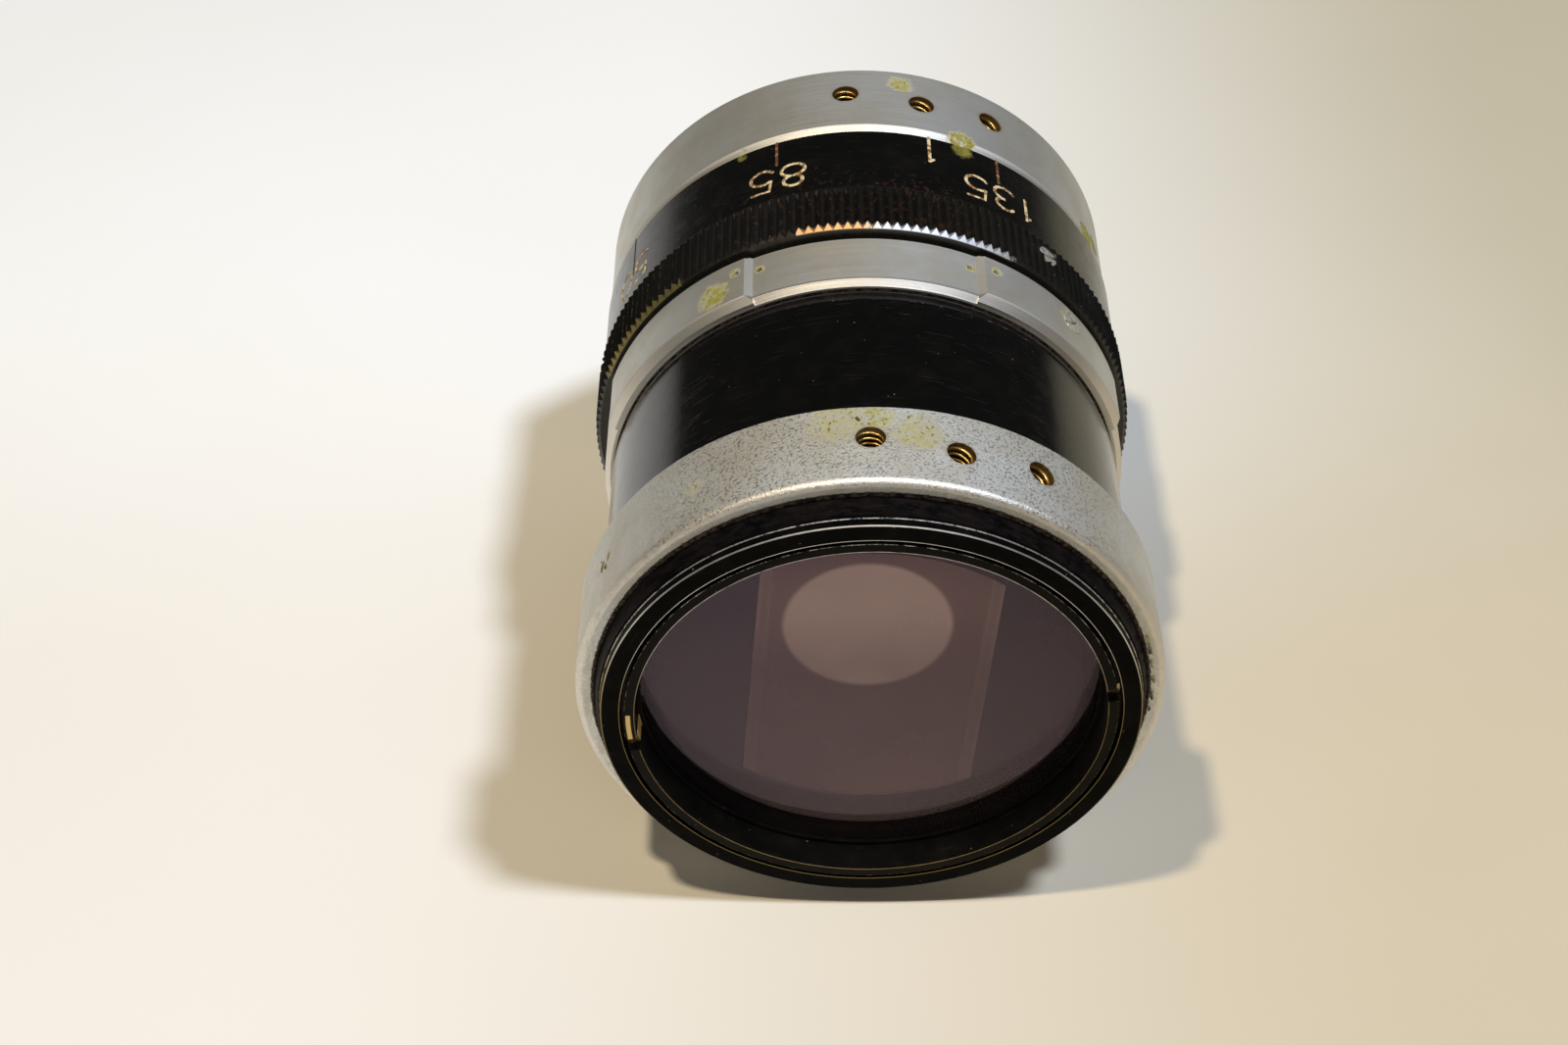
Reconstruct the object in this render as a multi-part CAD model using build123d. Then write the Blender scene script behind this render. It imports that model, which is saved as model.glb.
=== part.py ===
from build123d import *
import os
from math import cos, copysign, degrees, radians, sin, sqrt

# A tubular zoom viewfinder for a rangefinder camera: chromed and black-enamelled brass tubes, a ring that
# turns to change the angle of view, two lens cells that it drives along the axis, and a fixed eyepiece.
# Its accessory foot is off, which leaves the foot's six tapped holes and its saddle in the middle ring.
#
# Frame: origin on the optical axis in the plane of the front face, +Y along the axis to the rear, +Z up.
# Every part is turned about a spindle along Z, where s is the distance behind the front face, and the
# finished part is laid down so that s runs along +Y. An angle theta about the axis counts from the top
# (+Z) towards +X. All lengths are millimetres.

# ---- Driving dimensions -------------------------------------------------------------------------------

# Outside radii, front to rear
BEZEL_FACE_R = 18.0
BEZEL_FLARE_R = 18.45
FRONT_RING_R = 19.73
BARREL_R = 18.3
BARREL_GROOVE_R = 17.95
LAND_R = 19.25
SADDLE_R = 18.85
KNURL_R = 19.8
SCALE_BAND_R = 19.5
REAR_RING_R = 19.35
EYE_FLANGE_R = 18.4

# Stations along the axis
FRONT_RING_S = 2.1
FRONT_RING_END = 9.2
BARREL_GROOVE_S = 22.0
MIDDLE_RING_S = 23.0
MIDDLE_RING_END = 27.8
ZOOM_RING_S = 28.2
KNURL_END = 32.75
ZOOM_RING_END = 39.9
REAR_RING_S = 40.1
REAR_RING_END = 48.0
EYE_FLANGE_END = 49.1
EYE_CAP_END = 53.2

# Nested tubes, from the inside out
CELL_R = 15.35
TUBE_BORE_R = 15.4
TUBE_R = 16.6
SLEEVE_BORE_R = 16.65
SLEEVE_R = 17.55
BARREL_BORE_R = 17.6
SEAT = 0.02                    # gap between two fixed parts that are screwed together
LENS_RIM = 1.4                 # flat rim around a lens's curved face, where its seat bears

# Objective end
MOUTH_R = 15.7
BEZEL_MOUTH_R = 16.7
RETAINER_R = 16.55
RETAINER_FACE_R = 16.38
MOUTH_GROOVE = 0.5             # depth of the gap between the bezel's and the retaining ring's faces
RETAINER_DEPTH = 2.5
GLASS_R = 16.5
GLASS_EDGE = 1.7
SPANNER_NOTCHES = (81.0, -98.5)
NOTCH_WIDTH = 1.2
NOTCH_DEPTH = 0.85

# Accessory-foot fixings, M2
FOOT_HOLE_R = 0.975
FOOT_HOLE_DEPTH = 2.05
FOOT_HOLE_PITCH = 16.8         # degrees
FOOT_HOLE_STAGGER = -0.7       # the middle hole of each three stands forward of its neighbours
FRONT_HOLES_THETA = 15.8
FRONT_HOLES_S = 6.2
REAR_HOLES_THETA = 13.1        # the rear ring sits a little turned against the front one
REAR_HOLES_S = 44.85

# Middle ring
LAND_CENTRE = 48.9
SADDLE_CENTRE = -0.65
SADDLE_HALF_ANGLE = 24.25
FLANK_ANGLE = 1.4
SIDE_FLAT_HALF_ANGLE = 17.0
RING_SCREW_S = 26.2
RING_SCREW_R = 0.9
PUNCH_THETAS = (-28.2, -23.4, 22.0, 27.6)
PUNCH_S = 26.3
PUNCH_R = 0.2

# Rear ring
REAR_SCREW_THETAS = (120.0, 240.0)
REAR_SCREW_S = 45.4
REAR_SCREW_R = 0.8
REAR_SCREW_TIP_R = TUBE_BORE_R + 0.35
INDEX_THETA = -100.0

# Zoom ring
TEETH = 180
TOOTH_DEPTH = 0.36
KNURL_CHAMFER = 0.34
GRUB_R = 0.85
GRUB_S = 31.45
GRUB_THETAS = (42.0, 162.0, 282.0)

# Zoom mechanism
ZOOM_TRAVEL = 130.0            # degrees from the widest to the longest setting
VARIATOR_S = 21.2              # pin station at the widest setting
VARIATOR_TRAVEL = 7.5          # rearwards
COMPENSATOR_S = 39.0
COMPENSATOR_TRAVEL = -4.4      # forwards
VARIATOR_THETAS = (20.0, 140.0, 260.0)
COMPENSATOR_THETAS = (80.0, 200.0, 320.0)
PIN_R = 0.8
PIN_GAP = 0.06
CELL_HALF = 2.6
CELL_LENS_R = 12.0
CELL_LENS_EDGE = 2.6
SLEEVE_S = 11.8
SLEEVE_END = 42.0
STOP_THETA = 180.0
STOP_S = 41.25
STOP_PIN_R = 0.55

# Erecting prism
PRISM_WIDTH = 16.0
PRISM_HALF_HEIGHT = 11.9
PRISM_END_R = 15.0             # of its convex ends
PRISM_TILT = 4.0
PRISM_S = 4.6
PRISM_DEPTH = 9.7
PRISM_GAP = 0.05
CAGE_NOSE_R = 14.9
CAGE_SHOULDER_S = 7.4
CAGE_END = 15.2
CAGE_PORT_R = 6.05

# Eyepiece
EYE_LENS_R = 10.0
EYE_LENS_S = 44.2
EYE_FRONT_EDGE = 2.2
EYE_SPACER_END = 48.2
EYE_REAR_EDGE = 1.9
EYE_NECK_R = 12.6
MASK_ANGLE = 15.0              # the picture frame stands square to the foot
MASK_R = 13.6
MASK_WIDTH = 14.4
MASK_HEIGHT = 9.6


# ---- Helpers ------------------------------------------------------------------------------------------

def turned(*outline):
    """Solid of revolution about the spindle from a closed outline of (radius, s) points."""
    return revolve(Plane.XZ * make_face(Polyline(*outline, close=True)), Axis.Z)


def tube(bore, radius, s_start, s_end):
    return turned((bore, s_start), (radius, s_start), (radius, s_end), (bore, s_end))


def disc(radius, s_start, s_end):
    return turned((0, s_start), (radius, s_start), (radius, s_end), (0, s_end))


def radial_plane(theta, s, radius=0.0):
    """Plane whose x is tangential, y runs rearwards and z points outwards at angle theta."""
    phi = radians(theta - 90)
    outward = Vector(cos(phi), sin(phi), 0)
    return Plane(
        origin=outward * radius + Vector(0, 0, s),
        x_dir=(-sin(phi), cos(phi), 0),
        z_dir=outward,
    )


def radial_rod(theta, s, radius, r_from, r_to):
    """Round bar along a radius of the barrel."""
    rod = Cylinder(radius, r_to - r_from, align=(Align.CENTER, Align.CENTER, Align.MIN))
    return radial_plane(theta, s, r_from) * rod


def radial_bar(theta, s, width, length, r_from, r_to):
    """Square bar along a radius: width is tangential and length runs along the axis."""
    bar = Box(width, length, r_to - r_from, align=(Align.CENTER, Align.CENTER, Align.MIN))
    return radial_plane(theta, s, r_from) * bar


def sector(theta_from, theta_to, r_from, r_to, s_start, s_end):
    """Part of a ring between two angles."""
    face = Plane.XZ * make_face(
        Polyline((r_from, s_start), (r_to, s_start), (r_to, s_end), (r_from, s_end), close=True)
    )
    return Rot(0, 0, theta_from - 90) * revolve(face, Axis.Z, revolution_arc=theta_to - theta_from)


def cap_point(rim_radius, bulge, radius):
    """Height of a spherical cap above its rim plane, at a radius. The cap is bulge high at its centre."""
    sphere = (rim_radius**2 + bulge**2) / (2 * bulge)
    return bulge - sphere + copysign(sqrt(sphere**2 - radius**2), sphere)


def lens(radius, s_front, edge, front_bulge=0.0, rear_bulge=0.0):
    """Round lens, edge thick at its flat rim. A face bulges out by its bulge, or is hollow if negative."""
    s_rear = s_front + edge
    clear_r = radius - LENS_RIM
    vertex_front, vertex_rear = (0, s_front - front_bulge), (0, s_rear + rear_bulge)
    front, rear = Line(vertex_front, (clear_r, s_front)), Line((clear_r, s_rear), vertex_rear)
    half = clear_r / 2
    if front_bulge:
        middle = (half, s_front - cap_point(clear_r, front_bulge, half))
        front = ThreePointArc(vertex_front, middle, (clear_r, s_front))
    if rear_bulge:
        middle = (half, s_rear + cap_point(clear_r, rear_bulge, half))
        rear = ThreePointArc((clear_r, s_rear), middle, vertex_rear)
    rim = Polyline((clear_r, s_front), (radius, s_front), (radius, s_rear), (clear_r, s_rear))
    outline = Curve() + [front, rim, rear, Line(vertex_rear, vertex_front)]
    return revolve(Plane.XZ * make_face(outline), Axis.Z)


def grouped(solids):
    return Compound(children=list(solids))


def slotted_screw(theta, s, radius, r_from, r_to, slot_angle=0.0):
    """Headless screw along a radius, with a screwdriver slot across its outer end."""
    slot_width, slot_depth = 0.3 * radius, 0.35
    slot = Rot(0, 0, slot_angle) * Box(3 * radius, slot_width, 2 * slot_depth)
    return radial_rod(theta, s, radius, r_from, r_to) - radial_plane(theta, s, r_to) * slot


# ---- Objective end ------------------------------------------------------------------------------------

def front_bezel():
    """Black objective cell: narrow front face, flared rim, and a skirt that screws into the front ring."""
    skirt_r, skirt_end, lip_r = 17.35, 6.3, 15.45
    thread_r = RETAINER_R + SEAT
    glass_end = RETAINER_DEPTH + GLASS_EDGE + SEAT
    seat_r = GLASS_R + SEAT
    return turned(
        (BEZEL_MOUTH_R, 0), (BEZEL_FACE_R - 0.15, 0), (BEZEL_FACE_R, 0.15),
        (BEZEL_FACE_R + 0.03, 0.6), (BEZEL_FACE_R + 0.19, 0.78),
        (BEZEL_FLARE_R, FRONT_RING_S - 0.05), (skirt_r, FRONT_RING_S - 0.05), (skirt_r, skirt_end),
        (lip_r, skirt_end), (lip_r, glass_end), (seat_r, glass_end), (seat_r, RETAINER_DEPTH),
        (thread_r, RETAINER_DEPTH), (thread_r, MOUTH_GROOVE), (BEZEL_MOUTH_R, MOUTH_GROOVE),
    )


def front_retaining_ring():
    """Threaded ring that holds the glass, with two spanner notches and a thin lip over the glass."""
    lip_r, lip_s = 15.4, 2.2
    ring = turned(
        (MOUTH_R, 0), (RETAINER_FACE_R, 0), (RETAINER_FACE_R, MOUTH_GROOVE), (RETAINER_R, MOUTH_GROOVE),
        (RETAINER_R, RETAINER_DEPTH - SEAT), (lip_r, RETAINER_DEPTH - SEAT), (lip_r, lip_s),
        (MOUTH_R, lip_s),
    )
    for theta in SPANNER_NOTCHES:
        ring -= radial_bar(theta, 0, NOTCH_WIDTH, 2 * NOTCH_DEPTH, MOUTH_R - 1, RETAINER_R + 1)
    return ring


def objective_lens():
    return lens(GLASS_R, RETAINER_DEPTH, GLASS_EDGE)


def front_ring():
    """Chromed ring with a rounded front shoulder, bored for the bezel, the main tube and the barrel."""
    round_r, rear_chamfer = 0.5, 0.15
    bore_r, tube_seat_r, barrel_seat_r = 17.4, TUBE_R + SEAT, BARREL_R + SEAT
    seat_s, barrel_s = 6.4, 8.2
    corner = FRONT_RING_R - round_r
    outline = Curve() + [
        Line((BEZEL_FLARE_R + 0.05, FRONT_RING_S), (corner, FRONT_RING_S)),
        ThreePointArc(
            (corner, FRONT_RING_S),
            (corner + round_r * sin(radians(45)), FRONT_RING_S + round_r * (1 - cos(radians(45)))),
            (FRONT_RING_R, FRONT_RING_S + round_r),
        ),
        Polyline(
            (FRONT_RING_R, FRONT_RING_S + round_r), (FRONT_RING_R, FRONT_RING_END - rear_chamfer),
            (FRONT_RING_R - rear_chamfer, FRONT_RING_END), (barrel_seat_r, FRONT_RING_END),
            (barrel_seat_r, barrel_s), (tube_seat_r, barrel_s), (tube_seat_r, seat_s),
            (bore_r, seat_s), (bore_r, FRONT_RING_S + 0.6), (BEZEL_FLARE_R + 0.05, FRONT_RING_S),
        ),
    ]
    ring = revolve(Plane.XZ * make_face(outline), Axis.Z)
    return ring - foot_holes(FRONT_HOLES_THETA, FRONT_HOLES_S, FRONT_RING_R)


def foot_holes(theta, s, surface_r):
    """Three blind tapped holes for screws of the accessory foot."""
    places = ((-FOOT_HOLE_PITCH, 0), (0, FOOT_HOLE_STAGGER), (FOOT_HOLE_PITCH, 0))
    return [
        radial_rod(theta + turn, s + step, FOOT_HOLE_R, surface_r - FOOT_HOLE_DEPTH, surface_r + 1)
        for turn, step in places
    ]


# ---- Fixed tubes --------------------------------------------------------------------------------------

def straight_slot(theta, s_from, s_to):
    """Slot along the axis through the main tube's wall, for a driving pin."""
    half_width = PIN_R + PIN_GAP
    low, high = sorted((s_from, s_to))
    ends = [radial_rod(theta, s, half_width, TUBE_BORE_R - 1, TUBE_R + 1) for s in (low, high)]
    middle = radial_bar(
        theta, (low + high) / 2, 2 * half_width, high - low, TUBE_BORE_R - 1, TUBE_R + 1
    )
    return middle + ends


def main_tube():
    """Brass tube that carries everything, slotted lengthwise for the two sets of driving pins."""
    part = tube(TUBE_BORE_R, TUBE_R, 6.4, 47.98)
    for theta in VARIATOR_THETAS:
        part -= straight_slot(theta, VARIATOR_S, VARIATOR_S + VARIATOR_TRAVEL)
    for theta in COMPENSATOR_THETAS:
        part -= straight_slot(theta, COMPENSATOR_S, COMPENSATOR_S + COMPENSATOR_TRAVEL)
    for theta in REAR_SCREW_THETAS:
        part -= radial_rod(theta, REAR_SCREW_S, REAR_SCREW_R + SEAT, REAR_SCREW_TIP_R, TUBE_R + 1)
    part -= radial_rod(STOP_THETA, STOP_S, STOP_PIN_R + SEAT, TUBE_BORE_R + 0.4, TUBE_R + 1)
    return part


def front_barrel():
    """Black barrel between the front and middle rings, which covers the cam sleeve."""
    collar_s, collar_end = 8.25, 11.5
    barrel = turned(
        (TUBE_R + SEAT, collar_s), (BARREL_R, collar_s), (BARREL_R, BARREL_GROOVE_S - 0.15),
        (BARREL_R - 0.15, BARREL_GROOVE_S), (BARREL_GROOVE_R, BARREL_GROOVE_S),
        (BARREL_GROOVE_R, MIDDLE_RING_END), (BARREL_BORE_R, MIDDLE_RING_END),
        (BARREL_BORE_R, collar_end), (TUBE_R + SEAT, collar_end),
    )
    return barrel


def middle_ring():
    """Chromed ring with four raised lands. The gap between the upper two is the foot's saddle."""
    chamfer, floor_chamfer = 0.55, 0.4
    bore_r = BARREL_GROOVE_R + SEAT
    ring = turned(
        (bore_r, MIDDLE_RING_S), (LAND_R - chamfer, MIDDLE_RING_S), (LAND_R, MIDDLE_RING_S + chamfer),
        (LAND_R, MIDDLE_RING_END - 0.15), (LAND_R - 0.15, MIDDLE_RING_END), (bore_r, MIDDLE_RING_END),
    )
    reliefs = (
        (SADDLE_CENTRE, SADDLE_HALF_ANGLE), (180, SADDLE_HALF_ANGLE),
        (90, SIDE_FLAT_HALF_ANGLE), (270, SIDE_FLAT_HALF_ANGLE),
    )
    for centre, half_angle in reliefs:
        ring -= relief(centre, half_angle)
        ring -= relief_chamfer(centre, half_angle, floor_chamfer)
    for theta in (LAND_CENTRE, LAND_CENTRE + 180):
        ring -= radial_rod(theta, RING_SCREW_S, RING_SCREW_R + SEAT, bore_r - 1, LAND_R + 1)
    for theta in PUNCH_THETAS:
        ring -= radial_rod(theta, PUNCH_S, PUNCH_R, SADDLE_R - 0.3, LAND_R + 1)
    return ring


def relief(centre, half_angle):
    """Shallow relief with sloping flanks, cut into the middle ring's outside over its whole length."""
    outer_r = LAND_R + 0.5
    floor = radians(half_angle)
    brow = radians(half_angle + FLANK_ANGLE * (outer_r - SADDLE_R) / (LAND_R - SADDLE_R))
    corners = [
        (SADDLE_R * sin(-floor), SADDLE_R * cos(floor)),
        (outer_r * sin(-brow), outer_r * cos(brow)),
        (outer_r * sin(brow), outer_r * cos(brow)),
        (SADDLE_R * sin(floor), SADDLE_R * cos(floor)),
    ]
    outline = Curve() + [
        Line(corners[0], corners[1]),
        ThreePointArc(corners[1], (0, outer_r), corners[2]),
        Line(corners[2], corners[3]),
        ThreePointArc(corners[3], (0, SADDLE_R), corners[0]),
    ]
    length = MIDDLE_RING_END - MIDDLE_RING_S + 1
    block = extrude(make_face(outline), length)
    return Pos(0, 0, MIDDLE_RING_S - 0.5) * Rot(0, 0, 180 + centre) * block


def relief_chamfer(centre, half_angle, chamfer):
    """Cut that carries the front chamfer across the floor of a relief."""
    reach = 0.3
    corner = make_face(
        Polyline(
            (SADDLE_R - chamfer - reach, MIDDLE_RING_S - reach),
            (SADDLE_R + reach, MIDDLE_RING_S + chamfer + reach),
            (SADDLE_R + reach, MIDDLE_RING_S - reach),
            close=True,
        )
    )
    start = centre - half_angle - 90
    return Rot(0, 0, start) * revolve(Plane.XZ * corner, Axis.Z, revolution_arc=2 * half_angle)


def middle_ring_screws():
    """Two opposite screws that pin the middle ring to the barrel."""
    return grouped(
        slotted_screw(theta, RING_SCREW_S, RING_SCREW_R, BARREL_GROOVE_R + 0.03, LAND_R + 0.05, 35)
        for theta in (LAND_CENTRE, LAND_CENTRE + 180)
    )


def rear_ring():
    """Chromed rear ring, hollow in front to house the cam sleeve's end, with the index line."""
    chamfer, rear_chamfer, housing_end = 0.8, 0.12, 42.3
    housing_r, seat_r = BARREL_BORE_R + 0.05, TUBE_R + SEAT
    ring = turned(
        (housing_r, REAR_RING_S), (REAR_RING_R - chamfer, REAR_RING_S),
        (REAR_RING_R, REAR_RING_S + chamfer), (REAR_RING_R, REAR_RING_END - rear_chamfer),
        (REAR_RING_R - rear_chamfer, REAR_RING_END), (seat_r, REAR_RING_END),
        (seat_r, housing_end), (housing_r, housing_end),
    )
    ring -= foot_holes(REAR_HOLES_THETA, REAR_HOLES_S, REAR_RING_R)
    for theta in REAR_SCREW_THETAS:
        ring -= radial_rod(theta, REAR_SCREW_S, REAR_SCREW_R + SEAT, TUBE_R - 1, REAR_RING_R + 1)
    index_width, index_length, index_depth = 0.3, 3.6, 0.15
    ring -= radial_bar(
        INDEX_THETA, REAR_RING_S, index_width, index_length, REAR_RING_R - index_depth, REAR_RING_R + 1
    )
    return ring


def rear_ring_screws():
    """Two grub screws that fix the rear ring to the main tube."""
    return grouped(
        slotted_screw(theta, REAR_SCREW_S, REAR_SCREW_R, REAR_SCREW_TIP_R + 0.05, REAR_RING_R - 0.15, 60)
        for theta in REAR_SCREW_THETAS
    )


def stop_pin():
    """Pin in the main tube that ends the zoom ring's turn by meeting the ends of the sleeve's notch."""
    return radial_rod(STOP_THETA, STOP_S, STOP_PIN_R, TUBE_BORE_R + 0.45, SLEEVE_R - 0.1)


# ---- Zoom ring and cam sleeve -------------------------------------------------------------------------

def zoom_ring():
    """Black ring with a straight knurl in front and a smooth scale band behind."""
    root_r = KNURL_R - TOOTH_DEPTH
    tip_step = 360 / TEETH
    star = [
        (radius * cos(radians(angle)), radius * sin(radians(angle)))
        for tooth in range(TEETH)
        for radius, angle in ((KNURL_R, tooth * tip_step), (root_r, (tooth + 0.5) * tip_step))
    ]
    knurl = Pos(0, 0, ZOOM_RING_S) * extrude(make_face(Polyline(*star, close=True)), KNURL_END - ZOOM_RING_S)
    knurl &= turned(
        (0, ZOOM_RING_S), (KNURL_R - KNURL_CHAMFER, ZOOM_RING_S),
        (KNURL_R + 0.1, ZOOM_RING_S + KNURL_CHAMFER + 0.1), (KNURL_R + 0.1, KNURL_END - 0.35),
        (KNURL_R - 0.35, KNURL_END + 0.1), (0, KNURL_END + 0.1),
    )
    band = turned(
        (0, KNURL_END - 0.5), (root_r - 0.2, KNURL_END - 0.5), (root_r - 0.2, KNURL_END),
        (SCALE_BAND_R, KNURL_END), (SCALE_BAND_R, ZOOM_RING_END - 0.15),
        (SCALE_BAND_R - 0.15, ZOOM_RING_END), (0, ZOOM_RING_END),
    )
    ring = knurl + band - disc(SLEEVE_R + SEAT, ZOOM_RING_S - 1, ZOOM_RING_END + 1)
    for theta in GRUB_THETAS:
        ring -= radial_rod(theta, GRUB_S, GRUB_R + SEAT, SLEEVE_R - 1, KNURL_R + 1)
    return ring


def helical_slot(theta, s_from, travel):
    """Cam slot through the sleeve. It climbs by travel while the ring turns through its whole range."""
    half_width = PIN_R + PIN_GAP
    mid_r = (SLEEVE_BORE_R + SLEEVE_R) / 2
    wall = SLEEVE_R - SLEEVE_BORE_R + 1.6
    pitch = abs(travel) * 360 / ZOOM_TRAVEL
    path = Helix(pitch=pitch, height=abs(travel), radius=mid_r)
    section = Plane(origin=path @ 0, x_dir=(1, 0, 0), z_dir=path % 0) * Rectangle(wall, 2 * half_width)
    channel = Rot(0, 0, theta - 90) * sweep(section, path=path, is_frenet=True)
    if travel < 0:
        channel = mirror(channel, about=Plane.XY)
    channel = Pos(0, 0, s_from) * channel
    for turn, s in ((0, s_from), (ZOOM_TRAVEL, s_from + travel)):
        channel += radial_rod(theta + turn, s, half_width + PIN_GAP, mid_r - wall / 2, mid_r + wall / 2)
    return channel


def cam_sleeve():
    """Sleeve that turns on the main tube with the zoom ring, with three cam slots for each lens cell."""
    sleeve = tube(SLEEVE_BORE_R, SLEEVE_R, SLEEVE_S, SLEEVE_END)
    for theta in VARIATOR_THETAS:
        sleeve -= helical_slot(theta, VARIATOR_S, VARIATOR_TRAVEL)
    for theta in COMPENSATOR_THETAS:
        sleeve -= helical_slot(theta, COMPENSATOR_S, COMPENSATOR_TRAVEL)
    for theta in GRUB_THETAS:
        sleeve -= radial_rod(theta, GRUB_S, GRUB_R + SEAT, SLEEVE_BORE_R - 1, SLEEVE_R + 1)
    notch_margin = degrees((STOP_PIN_R + PIN_GAP) / SLEEVE_BORE_R)
    notch_s = STOP_S - STOP_PIN_R - 0.15
    sleeve -= sector(
        STOP_THETA - notch_margin, STOP_THETA + ZOOM_TRAVEL + notch_margin,
        SLEEVE_BORE_R - 0.5, SLEEVE_R + 0.5, notch_s, SLEEVE_END + 1,
    )
    return sleeve


def zoom_ring_screws():
    """Three grub screws that fix the zoom ring to the cam sleeve."""
    return grouped(
        slotted_screw(theta, GRUB_S, GRUB_R, SLEEVE_BORE_R + 0.1, KNURL_R - TOOTH_DEPTH + 0.1, 20)
        for theta in GRUB_THETAS
    )


# ---- Moving lens cells --------------------------------------------------------------------------------

def lens_cell(pin_s, pin_thetas):
    """Blackened brass cell that slides in the main tube. Its front lip and a ring hold one lens."""
    front, rear = pin_s - CELL_HALF, pin_s + CELL_HALF
    lip_r, chamfer = CELL_LENS_R - 0.9, 0.3
    cell = turned(
        (lip_r, front), (CELL_R - chamfer, front), (CELL_R, front + chamfer),
        (CELL_R, rear - chamfer), (CELL_R - chamfer, rear), (CELL_LENS_R, rear),
        (CELL_LENS_R, front + 0.8), (lip_r, front + 0.8),
    )
    for theta in pin_thetas:
        cell -= radial_rod(theta, pin_s, PIN_R + SEAT, CELL_R - 2.1, CELL_R + 1)
    return cell


def cell_lens(pin_s, front_bulge, rear_bulge):
    return lens(CELL_LENS_R - SEAT, pin_s - CELL_HALF + 0.82, CELL_LENS_EDGE, front_bulge, rear_bulge)


def cell_retaining_ring(pin_s):
    """Threaded ring behind a cell's lens, with two spanner notches."""
    front = pin_s - CELL_HALF + 0.84 + CELL_LENS_EDGE
    rear = pin_s + CELL_HALF - 0.2
    ring = tube(CELL_LENS_R - 1.1, CELL_LENS_R - SEAT, front, rear)
    for theta in (0, 180):
        ring -= radial_bar(theta, rear, 1.0, 1.2, CELL_LENS_R - 2, CELL_LENS_R + 1)
    return ring


def driving_pins(pin_s, pin_thetas):
    """Three pins that reach from a cell through the main tube's slots into the cam slots."""
    return grouped(
        radial_rod(theta, pin_s, PIN_R, CELL_R - 2.05, SLEEVE_R - 0.15) for theta in pin_thetas
    )


# ---- Erecting prism -----------------------------------------------------------------------------------

def prism_retaining_ring():
    """Threaded ring around the cage's nose that holds the cage in the main tube."""
    front_s = 6.5
    ring = tube(CAGE_NOSE_R + PRISM_GAP, TUBE_BORE_R - SEAT, front_s, CAGE_SHOULDER_S - SEAT)
    for theta in (60, 240):
        ring -= radial_bar(theta, front_s, 1.2, 0.8, 14, 16)
    return ring


def prism_block(s_from, s_to, gap):
    """Block with two flat sides and convex ends, as large as the prism with gap all round."""
    block = Box(
        PRISM_WIDTH + 2 * gap, 2 * PRISM_END_R, s_to - s_from, align=(Align.CENTER, Align.CENTER, Align.MIN)
    )
    block = Pos(0, 0, s_from) * block
    for side in (-1, 1):
        centre = side * (PRISM_END_R - PRISM_HALF_HEIGHT)
        block &= Pos(0, centre, 0) * disc(PRISM_END_R + gap, s_from - 1, s_to + 1)
    return Rot(0, 0, PRISM_TILT) * block


def erecting_prism():
    return prism_block(PRISM_S, PRISM_S + PRISM_DEPTH, 0)


def prism_cage():
    """Blackened holder with a pocket for the prism and a round port behind it."""
    back_s = PRISM_S + PRISM_DEPTH + PRISM_GAP
    cage = disc(TUBE_BORE_R - SEAT, CAGE_SHOULDER_S, CAGE_END) + disc(CAGE_NOSE_R, PRISM_S, CAGE_SHOULDER_S)
    pocket = prism_block(PRISM_S - 1, back_s, PRISM_GAP)
    return cage - pocket - disc(CAGE_PORT_R, PRISM_S - 1, CAGE_END + 1)


# ---- Eyepiece -----------------------------------------------------------------------------------------

def field_mask():
    """Thin plate with the picture-shaped opening, in the eyepiece's image plane."""
    opening = Rot(0, 0, MASK_ANGLE) * Box(MASK_WIDTH, MASK_HEIGHT, 10)
    return disc(MASK_R, 42.9, 43.4) - Pos(0, 0, 43) * opening


def eyepiece_cell():
    """Cell that screws into the main tube: mask seat and lens lip in front, flange and neck behind."""
    lip_r, neck_end = EYE_LENS_R - 0.8, 51.2
    return turned(
        (MASK_R + SEAT, 42.9), (TUBE_BORE_R - SEAT, 42.9), (TUBE_BORE_R - SEAT, REAR_RING_END + SEAT),
        (EYE_FLANGE_R, REAR_RING_END + SEAT), (EYE_FLANGE_R, EYE_FLANGE_END - 0.25),
        (EYE_FLANGE_R - 0.25, EYE_FLANGE_END), (EYE_NECK_R, EYE_FLANGE_END), (EYE_NECK_R, neck_end),
        (EYE_LENS_R + SEAT, neck_end), (EYE_LENS_R + SEAT, EYE_LENS_S),
        (lip_r, EYE_LENS_S), (lip_r, 43.42), (MASK_R + SEAT, 43.42),
    )


def eyepiece_front_lens():
    return lens(EYE_LENS_R, EYE_LENS_S + SEAT, EYE_FRONT_EDGE, rear_bulge=1.0)


def eyepiece_spacer():
    return tube(EYE_LENS_R - 0.9, EYE_LENS_R, EYE_LENS_S + EYE_FRONT_EDGE + 2 * SEAT, EYE_SPACER_END)


def eyepiece_rear_lens():
    return lens(EYE_LENS_R, EYE_SPACER_END + SEAT, EYE_REAR_EDGE, front_bulge=0.6, rear_bulge=0.35)


def eyepiece_retaining_ring():
    """Threaded ring behind the rear eye lens, with two spanner notches."""
    front, rear = EYE_SPACER_END + EYE_REAR_EDGE + 2 * SEAT, 51.0
    ring = tube(EYE_LENS_R - 1.2, EYE_LENS_R, front, rear)
    for theta in (30, 210):
        ring -= radial_bar(theta, rear, 1.0, 1.0, EYE_LENS_R - 2, EYE_LENS_R + 1)
    return ring


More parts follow.
